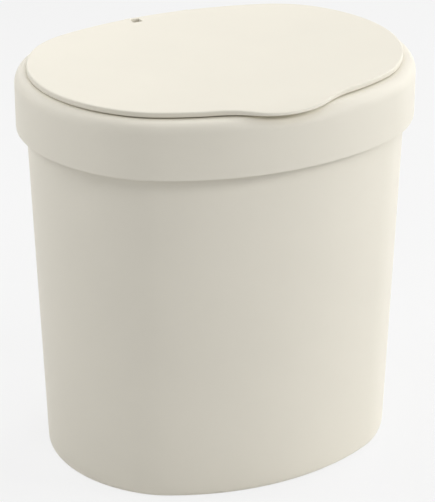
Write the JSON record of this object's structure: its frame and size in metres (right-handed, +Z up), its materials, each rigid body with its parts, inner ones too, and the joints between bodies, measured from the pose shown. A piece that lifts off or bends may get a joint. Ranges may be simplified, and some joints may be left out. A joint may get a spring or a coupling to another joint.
{
  "type": "push top countertop bin",
  "caption": "Oval tapered countertop caddy with a lift-off collar and a hinged lid that a push at its front tab pops open.",
  "frame": {"origin": "middle of the footprint, on the worktop", "axes": "+Z up, the lid's push tab points along -Y and the hinge is at the back along +Y, +X to the right seen from the front"},
  "size_m": [0.22, 0.174, 0.2244],
  "materials": {
    "tub_plastic": "fine moulded texture, off-white",
    "collar_plastic": "satin moulded, off-white",
    "lid_plastic": "fine moulded texture, off-white",
    "liner_plastic": "satin moulded, off-white",
    "striker_plastic": "smooth acetal",
    "latch_case_plastic": "smooth, light grey",
    "latch_moving_plastic": "smooth acetal",
    "pin_steel": "drawn bright wire",
    "spring_steel": "drawn spring wire",
    "screw_steel": "zinc plated"
  },
  "bodies": {
    "tub": {"bin_body": "tub_plastic"},
    "collar_unit": {"collar": "collar_plastic", "latch_housing": "latch_case_plastic", "latch_cover": "latch_case_plastic", "latch_screws": "screw_steel", "latch_spring": "spring_steel", "cam_follower": "spring_steel", "hinge_retainer": "collar_plastic", "hinge_screws": "screw_steel", "torsion_spring": "spring_steel"},
    "pin": {"hinge_pin": "pin_steel"},
    "lid": {"lid_cover": "lid_plastic", "lid_liner": "liner_plastic", "lid_screws": "screw_steel", "striker": "striker_plastic"},
    "latch_plunger": {"latch_slider": "latch_moving_plastic", "jaw_pins": "pin_steel"},
    "left_jaw": {"jaw_left": "latch_moving_plastic"},
    "right_jaw": {"jaw_right": "latch_moving_plastic"}
  },
  "joints": [
    {"name": "collar_lift", "type": "slide", "parent": "tub", "child": "collar_unit", "axis": [0, 0, 1], "range_m": [0, 0.06]},
    {"name": "lid_press", "type": "hinge", "parent": "collar_unit", "child": "pin", "pos_m": [0, 0.082, 0.2162], "axis": [-1, 0, 0], "range_deg": [-0.26, 2.2]},
    {"name": "lid_open", "type": "hinge", "parent": "pin", "child": "lid", "pos_m": [0, 0.082, 0.2162], "axis": [-1, 0, 0], "range_deg": [-0.05, 80], "deforming": ["torsion_spring"]},
    {"name": "latch_slide", "type": "slide", "parent": "collar_unit", "child": "latch_plunger", "axis": [0, 0, 1], "range_m": [-0.0007, 0.006], "deforming": ["latch_spring", "cam_follower"]},
    {"name": "jaw_left_swing", "type": "hinge", "parent": "latch_plunger", "child": "left_jaw", "pos_m": [-0.0056, -0.0731, 0.2], "axis": [0, -1, 0], "range_deg": [-0.9, 7.1]},
    {"name": "jaw_right_swing", "type": "hinge", "parent": "latch_plunger", "child": "right_jaw", "pos_m": [0.0056, -0.0731, 0.2], "axis": [0, 1, 0], "range_deg": [-0.9, 7.1]}
  ],
  "couplings": [
    {"joint": "lid_press", "follows": "latch_slide", "rad_per_m": 6.3877},
    {"joint": "jaw_left_swing", "follows": "latch_slide", "rad_per_m": 20.31},
    {"joint": "jaw_right_swing", "follows": "latch_slide", "rad_per_m": 20.31}
  ]
}
